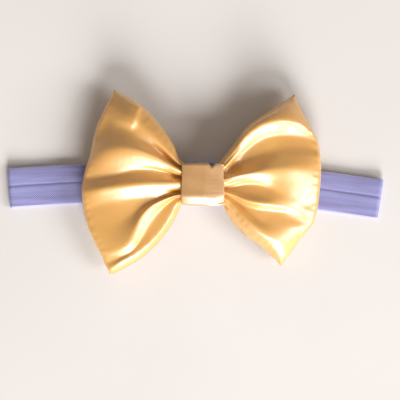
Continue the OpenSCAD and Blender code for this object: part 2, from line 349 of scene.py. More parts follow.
def spacing(points, axis=0):
    """Distances between neighbouring points along an axis."""
    return np.linalg.norm(np.diff(points, axis=axis), axis=-1)


def running(steps, axis=0):
    """Running sum of steps along an axis, from 0."""
    return np.insert(np.cumsum(steps, axis=axis), 0, 0, axis=axis)


def running_length(points):
    """Length along a row of points, from 0 at the first."""
    return running(spacing(points))


def points_at(at, length, points):
    """Points of a path at the given lengths along it."""
    return join(*(np.interp(at, length, column) for column in points.T))


def intervals(x, at):
    """Which interval of x each place lies in."""
    return np.clip(np.searchsorted(x, at, side="right") - 1, 0, len(x) - 2)


def hermite(start, start_slope, end, end_slope, step, t):
    """Cubic from start to end over a step, with the given slopes, at parts t of the step."""
    return (
        start * (2 * t**3 - 3 * t**2 + 1) + start_slope * step * (t**3 - 2 * t**2 + t)
        + end * (3 * t**2 - 2 * t**3) + end_slope * step * (t**3 - t**2)
    )


def pchip(x, y, at):
    """Smooth curve through (x, y) that never overshoots, for every column of y at once."""
    h = np.diff(x)[:, None]
    slope = np.diff(y, axis=0) / h
    tangent = np.zeros_like(y)
    w1, w2 = 2 * h[1:] + h[:-1], h[1:] + 2 * h[:-1]
    same = slope[1:] * slope[:-1] > 0
    safe = np.where(same, slope[:-1] * w2 + slope[1:] * w1, 1.0)
    tangent[1:-1] = np.where(same, (w1 + w2) * slope[1:] * slope[:-1] / safe, 0.0)
    tangent[0], tangent[-1] = slope[0], slope[-1]
    k = intervals(x, at)
    t = ((at - x[k]) / h[k, 0])[:, None]
    return hermite(y[k], tangent[k], y[k + 1], tangent[k + 1], h[k], t)


def spline(points, count):
    """A smooth curve through points, at count places spread evenly by length."""
    points = np.asarray(points, float)
    x = running(spacing(points) ** 0.5)
    tangent = np.gradient(points, x, axis=0)
    fine = np.linspace(0, x[-1], 400)
    k = intervals(x, fine)
    h = (x[k + 1] - x[k])[:, None]
    curve = hermite(points[k], tangent[k], points[k + 1], tangent[k + 1], h, (fine - x[k])[:, None] / h)
    length = running_length(curve)
    return points_at(np.linspace(0, length[-1], count), length, curve)


def soften(grid, rounds):
    """Evens out a grid by averaging each inner point with its neighbours."""
    grid = grid.copy()
    for _ in range(rounds):
        around = grid[:-2, 1:-1] + grid[2:, 1:-1] + grid[1:-1, :-2] + grid[1:-1, 2:]
        grid[1:-1, 1:-1] = 0.5 * grid[1:-1, 1:-1] + 0.125 * around
    return grid


def link_mesh(name, vertices, faces, material, uvs=None, smooth=True):
    """Makes an object from vertices in millimetres, in arrays of any shape.

    uvs holds one (u, v) in metres per vertex.
    """
    mesh = bpy.data.meshes.new(name)
    mesh.from_pydata((np.reshape(vertices, (-1, 3)) * MM).tolist(), [], faces)
    if uvs is not None:
        layer = mesh.uv_layers.new(name="cloth")
        corner = np.empty(len(mesh.loops), np.int32)
        mesh.loops.foreach_get("vertex_index", corner)
        layer.data.foreach_set("uv", np.asarray(uvs, np.float32)[corner].ravel())
    mesh.materials.append(material)
    mesh.polygons.foreach_set("use_smooth", [smooth] * len(mesh.polygons))
    mesh.update()
    made = bpy.data.objects.new(name, mesh)
    bpy.context.collection.objects.link(made)
    return made


def face_outward(made):
    """Turns every face of a closed mesh outward, and drops points that no face uses."""
    work = bmesh.new()
    work.from_mesh(made.data)
    loose = [point for point in work.verts if not point.link_faces]
    bmesh.ops.delete(work, geom=loose, context="VERTS")
    bmesh.ops.recalc_face_normals(work, faces=work.faces)
    work.to_mesh(made.data)
    work.free()


def attach(piece, body, slot, *nodes):
    """Makes a piece ride on a body and hides the CAD nodes it stands for. slot is not used."""
    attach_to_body(piece, body)
    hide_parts(*nodes)


def grid_faces(rows, columns, start=0, wrap=False, flip=False):
    """Quads of a grid of rows by columns. wrap joins the last column to the first."""
    faces = []
    for i in range(rows - 1):
        for j in range(columns if wrap else columns - 1):
            a = start + i * columns + j
            b = start + i * columns + (j + 1) % columns
            quad = (a, b, b + columns, a + columns)
            faces.append(quad[::-1] if flip else quad)
    return faces


def tube_faces(rings, sides, start=0, flip=False):
    """Faces of a closed tube: the grid of its rings and a flat cap at each end."""
    first = tuple(range(start, start + sides))
    last = tuple(range(start + (rings - 1) * sides, start + rings * sides))
    caps = [first, last[::-1]] if flip else [first[::-1], last]
    return grid_faces(rings, sides, start, wrap=True, flip=flip) + caps


def rim_loop(rows, columns):
    """Vertex numbers round the edge of a grid."""
    first = list(range(columns))
    right = [i * columns + columns - 1 for i in range(1, rows)]
    last = [(rows - 1) * columns + j for j in range(columns - 2, -1, -1)]
    left = [i * columns for i in range(rows - 2, 0, -1)]
    return first + right + last + left


def grid_parts(grid):
    """How far along its rows and columns each point of a grid lies, from 0 to 1."""
    rows, columns, _ = grid.shape
    return np.linspace(0, 1, rows)[:, None], np.linspace(0, 1, columns)[None, :]


def shell_faces(rows, columns, up=True):
    """Faces of an outer grid, of an inner grid numbered after it, and of the rim that joins them."""
    count = rows * columns
    faces = grid_faces(rows, columns, flip=not up) + grid_faces(rows, columns, start=count, flip=up)
    rim = rim_loop(rows, columns)
    for a, b in zip(rim, rim[1:] + rim[:1]):
        faces.append((a, a + count, b + count, b) if up else (b, b + count, a + count, a))
    return faces


def flat_uv(u, v):
    """One (u, v) in metres per point of a grid, from lengths that broadcast together."""
    return join(u, v).reshape(-1, 2) * MM


def cloth_uv(grid):
    """Real lengths along a grid's rows and columns in metres, for an outer and an inner layer."""
    down = running(spacing(grid).mean(axis=1))
    over = running(spacing(grid, axis=1), axis=1)
    return np.tile(flat_uv(down[:, None], over - over[:, -1:] / 2), (2, 1))


def grid_normals(grid):
    """Unit normals of a grid, upward on the whole."""
    normal = np.cross(np.gradient(grid, axis=0), np.gradient(grid, axis=1))
    normal /= np.maximum(np.linalg.norm(normal, axis=2, keepdims=True), 1e-9)
    return normal * (1 if normal[..., 2].mean() > 0 else -1)


def cloth_sheet(name, grid, material, up=True):
    """A closed thin sheet: its outer face is the grid, its inner face a cloth's thickness inside."""
    normal = grid_normals(grid) * (1 if up else -1)
    faces = shell_faces(*grid.shape[:2], up=up)
    return link_mesh(name, [grid, grid - normal * CLOTH_T], faces, material, cloth_uv(grid))


def ring_stacks(name, stacks, material, uvs=None, flip=False):
    """One object made of closed tubes, each given as its rings of points."""
    faces, start = [], 0
    for rings in stacks:
        count, sides, _ = rings.shape
        faces += tube_faces(count, sides, start, flip)
        start += count * sides
    points = np.concatenate([rings.reshape(-1, 3) for rings in stacks])
    return link_mesh(name, points, faces, material, uvs)


def threads(name, paths, radius, material, sides=6):
    """One object made of round threads along paths."""
    angle = np.linspace(0, 2 * math.pi, sides, endpoint=False)
    stacks, uvs = [], []
    for path in paths:
        tangent = unit(np.gradient(path, axis=0))
        side = unit(np.cross(tangent, (0.13, 0.21, 0.97)))[:, None]
        other = np.cross(tangent[:, None], side)
        ring = side * np.cos(angle)[None, :, None] + other * np.sin(angle)[None, :, None]
        stacks.append(path[:, None] + ring * radius)
        uvs.append(flat_uv(running_length(path)[:, None], angle[None, :] * radius))
    return ring_stacks(name, stacks, material, np.concatenate(uvs))


# ---- the elastic loop ----
LOOP_LEFT, LOOP_RIGHT = -75.7, 74.7  # tips of the loop's middle line
LEFT_DROP, RIGHT_DROP = 2.7, 7.2  # how far each tip lies toward -Y
LEFT_BEND, RIGHT_BEND = 2.2, 1.6  # powers of the two bends on the table
MIDDLE_Y = 0.2
TURN_OUT = TURN_TOP / 2
TURN_MIDDLE = TURN_OUT - ELASTIC_T / 2
TUCK = 3.0  # how far inside a turn the back and front pieces meet
PATH_STEP = 0.24
ARM_CLEAR = 0.9  # middle of an arm above the back run
LEFT_LIFT, RIGHT_LIFT = 0.5, 1.5  # middle of each lap above the foot of the lower one
ARM_RISE, ARM_SETTLE = 14.0, 12.0  # lengths of its climb to the knot and fall from the turn
GROOVE, GROOVE_WIDTH = 0.12, 0.045  # place and width of the fold line, as parts of half the width
GROOVE_DEPTH = 0.45  # as a part of half the thickness
PICOT_PITCH, PICOT_REACH = 0.95, 0.42
ARM_WAVE, ARM_WAVE_PITCH = 0.10, 5.3


def line_y(x):
    """How the middle line of the loop bends across the table."""
    left = LEFT_DROP * (np.maximum(KNOT[0] - x, 0) / (KNOT[0] - LOOP_LEFT)) ** LEFT_BEND
    right = RIGHT_DROP * (np.maximum(x - KNOT[0], 0) / (LOOP_RIGHT - KNOT[0])) ** RIGHT_BEND
    return MIDDLE_Y - left - right


def line_frame(x):
    """Point on the middle line, and unit directions along and across it."""
    step = 0.5
    slope = (line_y(x + step) - line_y(x - step)) / (2 * step)
    along = unit(join(1.0, slope, 0.0))
    return join(x, line_y(x), 0.0), along, join(-along[..., 1], along[..., 0], 0.0)


def arm_height(from_knot, from_turn, lap_z):
    """Middle height of a front arm: it lies low, then climbs to the knot."""
    low = BACK_HIGH[2] + ARM_CLEAR
    z = low + (lap_z - low) * (1 - smoothstep(from_knot / ARM_RISE))
    return z + (TURN_OUT + TURN_MIDDLE - low) * (1 - smoothstep(from_turn / ARM_SETTLE))


def elastic_strip(name, middle, normal, across, material, wave=0.0):
    """Elastic along a path: crowned halves, a groove near the middle, and picot loops at both edges."""
    edges = np.array([0.985, 0.95, 0.88, 0.7])
    inner = GROOVE + np.array([-0.56, -0.34, -0.18, -0.09, -0.045, 0, 0.045, 0.09, 0.18, 0.34])
    spread = np.concatenate([[-1], -edges, inner, edges[::-1], [1]])
    length = running_length(middle)
    picot = 0.5 + 0.5 * np.cos(2 * math.pi * length / PICOT_PITCH)
    groove = GROOVE_DEPTH * np.exp(-((spread - GROOVE) / GROOVE_WIDTH) ** 2)
    depth = ELASTIC_T / 2 * (1 - groove) * (1 - 0.55 * np.abs(spread) ** 14)
    edge = np.abs(spread) > 0.96
    reach = spread[None, :] * ELASTIC_W / 2 * np.ones((len(middle), 1))
    reach += np.sign(spread)[None, :] * edge[None, :] * (picot[:, None] * PICOT_REACH - 0.2)
    thick = depth[None, :] * np.ones((len(middle), 1))
    thick[:, edge] *= 0.45 + 0.5 * picot[:, None]
    ripple = wave * np.sin(length / ARM_WAVE_PITCH)[:, None] * np.abs(spread)[None, :] ** 3
    centre = middle[:, None] + across[:, None] * reach[..., None] + normal[:, None] * ripple[..., None]
    half = normal[:, None] * thick[..., None]
    ring = np.concatenate([centre + half, (centre - half)[:, ::-1]], axis=1)
    uvs = flat_uv(length[:, None], np.concatenate([reach, reach[:, ::-1]], axis=1))
    strip = ring_stacks(name, [ring], material, uvs, flip=True)
    return strip, (ELASTIC_W * MM, float(length[-1]) * MM)


def upper_path(side, end_x, lap_z):
    """Round the turn at one end, over the front arm and on past the knot by half the lap."""
    _, along, _ = line_frame(np.array(end_x))
    axis_x = end_x - side * TURN_OUT * along[0]
    under_x = np.arange(TUCK, 0, -PATH_STEP)
    over_x = np.arange(PATH_STEP, abs(axis_x - (KNOT[0] - side * LAP / 2)), PATH_STEP)
    angle = np.linspace(-math.pi / 2, math.pi / 2, 21)
    base_x = axis_x + side * np.concatenate([-under_x, 0 * angle, -over_x])
    bulge = np.concatenate([0 * under_x, TURN_MIDDLE * np.cos(angle), 0 * over_x])
    knot_edge = KNOT[0] + side * LAP / 2
    from_knot = np.maximum((axis_x - side * over_x - knot_edge) * side, 0)
    centre, along, across = line_frame(base_x)
    middle = centre + along * (side * bulge)[:, None]
    middle[:, 2] = np.concatenate([
        0 * under_x + ELASTIC_T / 2,
        TURN_OUT + TURN_MIDDLE * np.sin(angle),
        arm_height(from_knot, over_x, lap_z),
    ])
    normal = unit(np.cross(across, np.gradient(middle, axis=0)) * -side)
    return middle, normal, across


def make_elastic(material):
    """The back run and the two front pieces, whose ends lap behind the knot."""
    x = np.arange(LOOP_LEFT + TURN_OUT + TUCK, LOOP_RIGHT - TURN_OUT - TUCK, PATH_STEP)
    middle, _, across = line_frame(x)
    middle[:, 2] = ELASTIC_T / 2
    up = np.broadcast_to([0.0, 0.0, 1.0], middle.shape)
    back, flat = elastic_strip("elastic_back", middle, up, across, material)
    attach(back, "band_back", "elastic", "elastic_back_run")
    arms = (("left", -1, LOOP_LEFT, LEFT_LIFT), ("right", 1, LOOP_RIGHT, RIGHT_LIFT))
    for name, side, end_x, lift in arms:
        path = upper_path(side, end_x, LAP_LOW[2] + lift)
        arm, flat = elastic_strip(f"elastic_{name}_front", *path, material, wave=ARM_WAVE)
        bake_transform(arm)
        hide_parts(*(f"elastic_{name}_{part}" for part in ("turn", "arm", "lap")))


# ---- the wings ----
# Each fold is a line in space, from inside the knot to the outer edge, listed from the
# upper edge down to the lower edge. The front panel runs smoothly over all of them.
LEFT_FOLDS = {
    "upper_edge": [(-4, 6.6, 12.5), (-6.7, 9.6, 12.8), (-9.1, 15.4, 12.8), (-14.8, 23.8, 12),
        (-22.5, 31.6, 11.2), (-32.9, 37.5, 7.6)],
    "lobe": [(-4, 5.8, 13.6), (-8, 8.8, 14.4), (-13, 14, 15), (-19, 20, 15.6), (-27, 26, 14.6),
        (-35.9, 32.1, 9.8)],
    "valley_1": [(-4, 5, 13), (-6.3, 5.9, 12.4), (-11.7, 9.6, 11.6), (-17, 14.2, 14), (-24, 19, 15.4),
        (-32, 22.5, 12.8), (-40.4, 22.3, 9.4)],
    "ridge_1": [(-4, 4.1, 14.4), (-6.3, 4.8, 15.5), (-12, 7.9, 16.8), (-18, 11, 18), (-25, 13, 18.5),
        (-31, 13.4, 17.3), (-37, 12.4, 14.6), (-43.2, 10.4, 9.6)],
    "flank_1": [(-4, 3, 14.4), (-6.3, 3.1, 14.4), (-12, 5.1, 15.4), (-18, 6.7, 16.3), (-25, 7, 16.2),
        (-31, 5.8, 14.8), (-38, 4.8, 12.4), (-45, 4.8, 9.6)],
    "crease_1": [(-4, 2.1, 11.8), (-6.3, 2.1, 11.6), (-12, 3.9, 13.4), (-18, 4.8, 14.6), (-25, 4.5, 14.8),
        (-31.8, 2.8, 13.6), (-37.5, 1.9, 11.7), (-45.7, 1.4, 8.9)],
    "rise_2": [(-4, 1, 13.6), (-6.3, 1.1, 13.8), (-13, 1.8, 14.8), (-21, 2.1, 15.8), (-29, 1.4, 15.6),
        (-37, 0.2, 13.2), (-46.2, -1.2, 9.5)],
    "ridge_2": [(-4, -0.4, 14.4), (-6.3, -0.4, 15.4), (-14, -0.4, 16.4), (-22, -0.6, 17.2),
        (-30, -1.5, 16.7), (-38, -2.6, 14.3), (-46.4, -4.4, 9.8)],
    "flank_2": [(-4, -2.2, 13.8), (-6.3, -2.4, 14.1), (-14, -3, 15.1), (-22, -3.6, 15.8), (-30, -4.6, 15.2),
        (-38, -6, 12.8), (-45.9, -8.6, 9.3)],
    "crease_2": [(-4, -3.5, 12), (-6.3, -3.8, 12), (-14, -5.2, 13.9), (-22, -6.9, 14.2), (-30, -8.3, 13.6),
        (-38, -10, 11.4), (-45.2, -13.2, 8.4)],
    "valley_3": [(-4, -4.1, 12.6), (-7, -4.7, 12.6), (-13, -6.2, 13.2), (-20, -9.2, 13.9),
        (-27, -13.4, 13.4), (-34, -17, 11.6), (-43.4, -19.4, 8.2)],
    "ridge_3": [(-4, -4.7, 13.6), (-8, -5.4, 15), (-13, -7.1, 15.2), (-18.2, -9.8, 15.9),
        (-22.2, -14, 15.9), (-24.8, -19.4, 15.1), (-28.2, -25, 13.3), (-38.6, -29.4, 7.8)],
    "foot_3": [(-4, -5.1, 12.8), (-8.2, -6.2, 12.9), (-12.4, -8.5, 13.7), (-16.8, -11.8, 14.5),
        (-20.2, -16, 14.6), (-22.5, -21, 13.8), (-26.2, -26.8, 12.4), (-37.6, -31.4, 7.4)],
    "valley_4": [(-4, -5.5, 12), (-8.3, -6.8, 11.9), (-12, -9.6, 12.6), (-15.6, -13.6, 13.2),
        (-18.6, -18, 13.3), (-21.6, -22.6, 12.7), (-25.6, -27.6, 11.7), (-31, -30.8, 9.6),
        (-36.8, -33.6, 7)],
    "lower_roll": [(-4, -6.2, 12), (-7.5, -8.2, 12.6), (-10.1, -12.5, 13), (-13.8, -18.5, 13.4),
        (-18.4, -23.7, 13.2), (-24.8, -28.9, 12), (-31, -32.3, 10), (-35.6, -35.8, 7)],
    "lower_edge": [(-4, -7.4, 9.4), (-6.3, -9.6, 10), (-8.6, -15.2, 10.8), (-14.8, -24, 10.8),
        (-22, -30.7, 10), (-28, -34.3, 8.4), (-34.4, -37.6, 5.6)],
}
RIGHT_FOLDS = {
    "upper_edge": [(9, 6.8, 11), (11.3, 10.2, 11.6), (15.7, 15.9, 12), (21.1, 22.8, 11.2),
        (28.9, 28.4, 9.8), (36, 33.1, 7.8), (40, 35.6, 6)],
    "upper_field": [(9, 6.2, 12), (11.6, 9.6, 12.6), (15.5, 14.6, 13.3), (20.2, 21, 15), (25.5, 25.2, 15.2),
        (31, 28.2, 14), (37, 30.6, 11), (42.2, 30.8, 7)],
    "ridge_1": [(9, 5.4, 13), (11.7, 8.2, 13.6), (15.6, 12.6, 14.3), (19.7, 18.1, 16.2), (23.9, 21.6, 16.7),
        (28.6, 24, 16.9), (34, 25.2, 15.8), (40, 25, 12.8), (45.6, 24.2, 8.2)],
    "flank_1": [(9, 4.6, 13.6), (12.1, 6.4, 14.2), (16.5, 11.4, 14.2), (20.8, 15.8, 15), (26.3, 19.4, 15.1),
        (32.8, 21, 14.1), (38, 21.2, 12.1), (43, 20.4, 10.2), (48, 20, 8.2)],
    "crease_1": [(9, 3.7, 12.8), (11.5, 4.4, 12.9), (14.7, 7.4, 12.6), (17.5, 9.8, 12.9),
        (20.5, 12.4, 13.1), (24.6, 15.6, 13.3), (28.8, 17.7, 13.2), (33, 18.7, 12.4), (37, 18.9, 11.2),
        (41.5, 18.4, 9.8), (49.4, 16.9, 7.8)],
    "valley_1": [(9, 2.9, 13), (11.5, 3.4, 13.2), (15.4, 5.4, 11.4), (20.5, 8.6, 12.7), (27, 12, 13.2),
        (34, 14.2, 12.8), (42, 14.6, 10.4), (50.2, 13.5, 7.8)],
    "shoulder_2": [(9, 2.3, 13.8), (11.5, 2.2, 14.4), (17, 4, 14.6), (23.6, 6, 15.8), (31, 8, 15.8),
        (38, 9.4, 14.2), (44.5, 10, 11.6), (50.8, 9.8, 8.8)],
    "ridge_2": [(9, 0.8, 14.2), (11.5, 0.8, 15), (17, 2.6, 16.4), (24, 4, 17.4), (31, 4.8, 17),
        (38, 5.2, 15.8), (44.6, 5, 13), (50.9, 4.4, 9)],
    "flank_2": [(9, -1, 13.4), (11.5, -1, 13.9), (17, 0.5, 14.8), (24, 1, 15.6), (30, 0.2, 15.6),
        (37, -0.8, 15), (44.4, -1.2, 12.4), (50.6, -0.6, 8.8)],
    "crease_2": [(9, -2.4, 12.6), (11.4, -2.6, 12.2), (16.4, -1.9, 12.8), (20.5, -1.3, 13.4),
        (24.6, -1.5, 13.8), (28.7, -2.6, 14), (33, -4.5, 14.6), (37.5, -6, 14.2), (44, -6.8, 11.4),
        (50.1, -5.8, 8)],
    "lens_2": [(9, -3.1, 13.2), (12.3, -3.5, 13), (17, -4, 13.5), (22, -4.8, 14), (28, -6, 14.5),
        (34, -7.3, 14.8), (40, -8.4, 13.2), (45.2, -9.2, 10), (49.7, -9.2, 8)],
    "ridge_3": [(9, -3.8, 14.4), (12, -4.3, 14.4), (16, -5.5, 14.4), (20, -7.1, 15.2), (26, -8.4, 15.8),
        (32, -9.2, 15), (38, -10.4, 13.4), (44, -11.6, 10.6), (49, -12.4, 8)],
    "crease_3": [(9, -4.6, 12.6), (11.8, -5.1, 12.2), (16.4, -7.3, 12.3), (20.5, -9.7, 12.6),
        (24.6, -11.1, 12.9), (28.7, -11.7, 12.9), (33, -12.2, 12.5), (37, -13, 11.8), (41, -14.5, 10.4),
        (47.4, -17.2, 7.8)],
    "valley_3": [(9, -5, 12.8), (12.1, -6, 12.6), (16.5, -8.7, 12), (21, -12.2, 12.6), (26.5, -15.4, 13),
        (32.5, -17.4, 12.8), (38.5, -18.8, 11.6), (45.4, -19.6, 7.8)],
    "ridge_4": [(9, -5.5, 13.8), (12.1, -6.8, 13.8), (16.4, -10.2, 13.8), (20.5, -14.4, 14.4),
        (24.8, -18.6, 14.4), (30.5, -22.2, 13.4), (36, -24, 11.3), (42.2, -23.4, 7.2)],
    "flank_4": [(9, -6.1, 12.6), (11.8, -8.2, 12.5), (15.6, -12.8, 12.9), (20, -18, 13),
        (24.6, -21.9, 12.5), (30, -25.4, 11.2), (35, -28.4, 9.2), (38.4, -29, 7)],
    "lower_edge": [(9, -6.4, 10), (11.8, -9.2, 10.2), (15.3, -14.9, 10.6), (19.7, -20.6, 10.4),
        (24.2, -24.2, 9.6), (28.8, -27.7, 8.2), (34.4, -33.8, 5.6)],
}
# Short soft folds: start, end, half width, height and how much wider the right side is.
LEFT_SMALL_FOLDS = [
    ((-22.2, 31.2), (-25.8, 21.4), 1.8, 1.15, 3.5),
    ((-17, 26.5), (-20.2, 22.8), 0.8, 0.14),
    ((-12.4, 8.4), (-11.6, 5.2), 0.35, 0.05),
    ((-25.2, 11.5), (-24.6, 6.4), 0.45, 0.04),
    ((-38.5, 17), (-34, 26), 2.2, -0.30),
]
RIGHT_SMALL_FOLDS = [
    ((40.5, 24), (48.4, 18.4), 0.8, 0.28),
    ((41, 27), (47.2, 20.8), 0.8, -0.22),
    ((46.5, 1.8), (50.2, 1), 0.7, 0.09),
    ((46.2, -0.4), (50, -1.4), 0.7, -0.08),
    ((15, 3.5), (26, 6.6), 0.8, -0.12),
]
STATIONS = 118  # rows of the front panel, from the knot to the outer edge
SAMPLE = 0.55  # spacing of its columns
SOFTEN_ROUNDS = 4
EDGE_ROLL = 1.7  # how far inside the seam the cloth turns over
EDGE_DROP = 2.0  # and how far it falls there
CLOTH_T = 0.3
BELLY, BELLY_FROM = 4.0, 7.0  # depth of the back panel below the seam, reached this far inside it
ROOT_DROP = 2.6  # how much deeper it hangs beside the waist
BACK_CLEAR = 0.4  # its clearance over the elastic
TABLE_MARGIN = 0.5  # extra clearance over the bare table
LIP_WIDTH = 2.4  # width of the lip that the back shows past the lower seam
FILL_STEP, FILL_INSET, FILL_ROOT = 4, 3.4, 10  # wadding: grid step, distance from seams, rows left out
FILL_TOP, FILL_LOW = 1.2, 0.9  # its clearance under the front panel and over the back one
SEAM_INSET = 4  # grid steps from the edges to the seam thread
STITCH_PITCH, STITCH_GAP = 2.2, 0.5
SEAM_THREAD = 0.11  # radius


def loft(folds):
    """The sheet that runs over every fold line, as rows by columns.

    The lines are drawn as the camera sees them, so each point is first drawn in by its height.
    """
    lines = np.stack([spline(points, STATIONS) for points in folds.values()], axis=1)
    closer = 1 - lines[..., 2:] / CAMERA_HEIGHT
    lines[..., :2] = PLAN_CENTRE + (lines[..., :2] - PLAN_CENTRE) * closer
    gaps = spacing(lines, axis=1)
    counts = np.maximum(5, np.round(gaps[STATIONS // 2:].mean(axis=0) / SAMPLE)).astype(int)
    fractions = [(k, f / n) for k, n in enumerate(counts) for f in range(n)]
    rows = []
    for line_points, gap in zip(lines, gaps):
        x = running(gap**0.5 + 1e-6)
        at = np.array([x[k] + (x[k + 1] - x[k]) * f for k, f in fractions] + [x[-1]])
        rows.append(pchip(x, line_points, at))
    return np.stack(rows)


def edge_distance(grid):
    """Distance of each point from the nearest of the three sewn edges, measured on the plan."""
    over, out = spacing(grid[..., :2], axis=1), spacing(grid[..., :2])
    from_upper = running(over, axis=1)
    from_lower = running(over[:, ::-1], axis=1)[:, ::-1]
    from_outer = running(out[::-1])[::-1]
    return np.minimum(np.minimum(from_upper, from_lower), from_outer)


def small_fold(grid, start, end, width, height, trail=1.0):
    """Raises a short soft fold along a straight line on the plan.

    It falls off over width on the left of the line and over trail times width on the right.
    """
    start, end = np.array(start, float), np.array(end, float)
    run = end - start
    length = np.linalg.norm(run)
    offset = grid[..., :2] - start
    along = offset @ run / length
    aside = (run[0] * offset[..., 1] - run[1] * offset[..., 0]) / length
    spread = np.where(aside > 0, width, trail * width)
    fade = 0.35 * length
    ends = smoothstep(along / fade + 0.5) * smoothstep((length - along) / fade + 0.5)
    grid[..., 2] += height * np.exp(-(aside / spread) ** 2) * ends


def front_grid(folds, small_folds, rim_lift):
    """The front panel: the lofted folds, softened, with small folds, puckers and a turned edge."""
    grid = soften(loft(folds), SOFTEN_ROUNDS)
    grid[..., 2] += rim_lift * smoothstep(np.linspace(-1, 1, len(grid)))[:, None]
    for fold in small_folds:
        small_fold(grid, *fold)
    distance = edge_distance(grid)
    grid[..., 2] -= EDGE_DROP * (1 - dome(distance / EDGE_ROLL))
    grid[..., 2] += crinkles(grid, distance)
    return grid


def uneven(length, pitch, drift, slow):
    """A wave whose spacing drifts along its length."""
    return np.sin(length * pitch + drift * np.sin(length * slow))


def crinkles(grid, distance):
    """Heights of small puckers along the seams and of fine creases that fan out from the knot."""
    t, s = grid_parts(grid)
    rim = uneven(running_length(grid[-1])[None, :], 1.9, 1.3, 0.37)
    side = uneven(running_length(grid[:, 0])[:, None], 1.7, 1.1, 0.41)
    pucker = rim * smoothstep((t - 0.8) / 0.2) + side * (1 - smoothstep((t - 0.7) / 0.3))
    near_seam = np.exp(-((distance - 1.6) / 1.5) ** 2)
    fan = uneven(s, 95, 2.2, 9)
    near_knot = np.exp(-((t - 0.10) / 0.12) ** 2) * smoothstep(distance / 2)
    return 0.07 * pucker * near_seam + 0.10 * fan * near_knot


def coons(front):
    """A smooth sheet spanning the four edges of the front panel."""
    t, s = (part[..., None] for part in grid_parts(front))
    first = (1 - s) * front[0, 0] + s * front[0, -1]
    last = (1 - s) * front[-1, 0] + s * front[-1, -1]
    sides = (1 - s) * front[:, :1] + s * front[:, -1:]
    ends = (1 - t) * front[:1] + t * front[-1:]
    return sides + ends - ((1 - t) * first + t * last)


def back_grid(front, lip):
    """The back panel: it shares the front's edge, hangs below it, and shows a lip past the lower seam."""
    t, s = grid_parts(front)
    distance = edge_distance(front)
    folds = 0.35 * np.cos(s * 6 * math.pi) * smoothstep(t * 3)
    depth = (BELLY + folds) * dome(distance / BELLY_FROM)
    root = ROOT_DROP * (1 - smoothstep(t / 0.2)) * (1 - (2 * s - 1) ** 6)
    back = coons(front)
    back[..., 2] -= depth * smoothstep(t / 0.15) + root
    ground = under_height(back[..., 0], back[..., 1])
    back[..., 2] += smoothstep(distance / 3) * np.maximum(ground + BACK_CLEAR - back[..., 2], 0)
    out = np.gradient(front[:, -1], axis=0)
    out = unit(join(-out[:, 1], out[:, 0], 0.0))
    out *= np.sign((out * (front[:, -1] - front[:, 0])).sum(axis=1, keepdims=True))
    from_lower = np.linalg.norm(front[..., :2] - front[:, -1:, :2], axis=2)
    bump = lip * np.sin(math.pi * np.clip(from_lower / LIP_WIDTH, 0, 1))
    bump = bump * smoothstep(t * 5) * smoothstep((1 - t) * 8)
    return back + out[:, None] * bump[..., None]


def under_height(x, y):
    """Height of the elastic, or of a margin over the table, under a point of the back panel."""
    from_knot = np.maximum(np.abs(x - KNOT[0]) - LAP / 2, 0)
    top = arm_height(from_knot, np.inf, LAP_TOP - ELASTIC_T / 2) + ELASTIC_T / 2
    on_band = 1 - smoothstep((np.abs(y - line_y(x)) - ELASTIC_W / 2) / 2.5)
    return TABLE_MARGIN + (top - TABLE_MARGIN) * on_band


def bend_with_wing(piece, name, node):
    """Bakes a piece's place into its mesh, and hides the node of its wing that it stands for."""
    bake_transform(piece)
    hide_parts(f"{name}_{node}")


def make_wing(name, folds, small_folds, rim_lift, lip):
    """One wing: front and back panels, the wadding between them and the seam thread."""
    front = front_grid(folds, small_folds, rim_lift)
    back = back_grid(front, lip)
    coarse = np.ix_(*(np.r_[0:n - 1:2, n - 1] for n in back.shape[:2]))  # every second one, and the last
    front_satin = cloth_sheet(f"{name}_front_satin", front, materials["satin"])
    back_satin = cloth_sheet(f"{name}_back_satin", back[coarse], materials["satin_back"], up=False)
    for satin, node in ((front_satin, "front_panel"), (back_satin, "back_panel")):
        bend_with_wing(satin, name, node)
    filling = make_filling(f"{name}_filling", front, back)
    bend_with_wing(filling, name, "wadding")
    seam = make_seam(f"{name}_seam_thread", front)
    bend_with_wing(seam, name, "seam_stitches")


def extreme_height(grid, pick):
    """The lowest or highest height of a grid within one step of each point of the wadding."""
    height = grid[..., 2].copy()
    for _ in range(FILL_STEP):
        for axis in (0, 1):
            for shift in (-1, 1):
                height = pick(height, np.roll(height, shift, axis=axis))
    return height[::FILL_STEP, ::FILL_STEP]


def make_filling(name, front, back):
    """Wadding that follows the inside of both panels, clear of the pinched root."""
    inside = edge_distance(front)[::FILL_STEP, ::FILL_STEP] > FILL_INSET
    inside[:FILL_ROOT] = False
    lowest, highest = extreme_height(front, np.minimum), extreme_height(back, np.maximum)
    middle = (lowest + highest) / 2
    top, low = front[::FILL_STEP, ::FILL_STEP].copy(), back[::FILL_STEP, ::FILL_STEP].copy()
    top[..., 2] = np.maximum(lowest - FILL_TOP, middle + 0.1)
    low[..., 2] = np.minimum(highest + FILL_LOW, middle - 0.1)
    rows, columns = inside.shape
    count = rows * columns
    faces, edges = [], set()
    for i in range(rows - 1):
        for j in range(columns - 1):
            if not inside[i:i + 2, j:j + 2].all():
                continue
            a = i * columns + j
            quad = (a, a + 1, a + columns + 1, a + columns)
            faces += [quad, tuple(k + count for k in quad[::-1])]
            edges |= set(zip(quad, quad[1:] + quad[:1]))
    rim = sorted((p, q) for p, q in edges if (q, p) not in edges)
    faces += [(q, p, p + count, q + count) for p, q in rim]
    made = link_mesh(name, [top, low], faces, materials["wadding"])
    face_outward(made)
    return made


